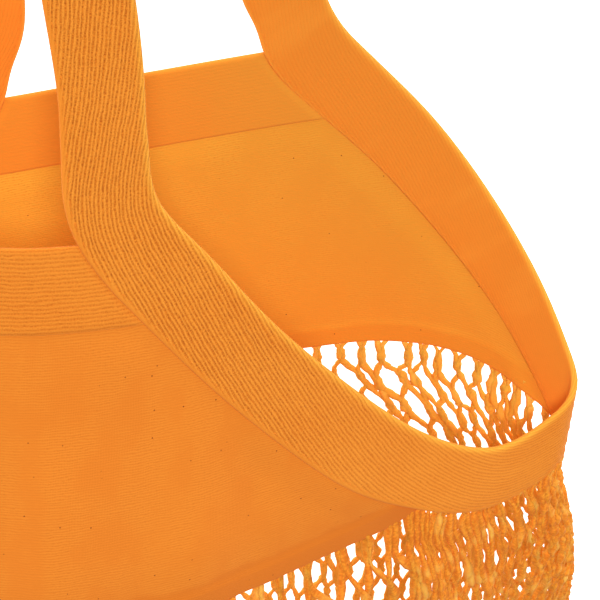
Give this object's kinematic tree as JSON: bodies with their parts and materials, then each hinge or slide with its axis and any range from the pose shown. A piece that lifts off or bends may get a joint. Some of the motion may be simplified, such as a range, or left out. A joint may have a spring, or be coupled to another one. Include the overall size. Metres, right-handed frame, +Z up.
{
  "type": "cotton mesh grocery bag",
  "caption": "Empty orange cotton grocery bag lying open on its back, with cloth panels, folded twill tape handles and a knotted net body.",
  "frame": {"origin": "on the floor under the middle of the whole bag's box, as it lies on its back", "axes": "+X across the bag, +Y from the net's foot towards the handles, +Z up from the floor towards the bag's front"},
  "size_m": [0.4134, 0.6582, 0.1202],
  "materials": {
    "panel_cotton": "plain woven orange cotton with small dark flecks",
    "twill_tape": "ribbed orange cotton twill tape",
    "net_cord": "twisted orange cotton cord"
  },
  "bodies": {
    "root": {"front_panel": "panel_cotton", "back_panel": "panel_cotton", "front_top_band": "twill_tape", "back_top_band": "twill_tape", "handle_tape": "twill_tape", "net_body": "net_cord"}
  },
  "joints": []
}
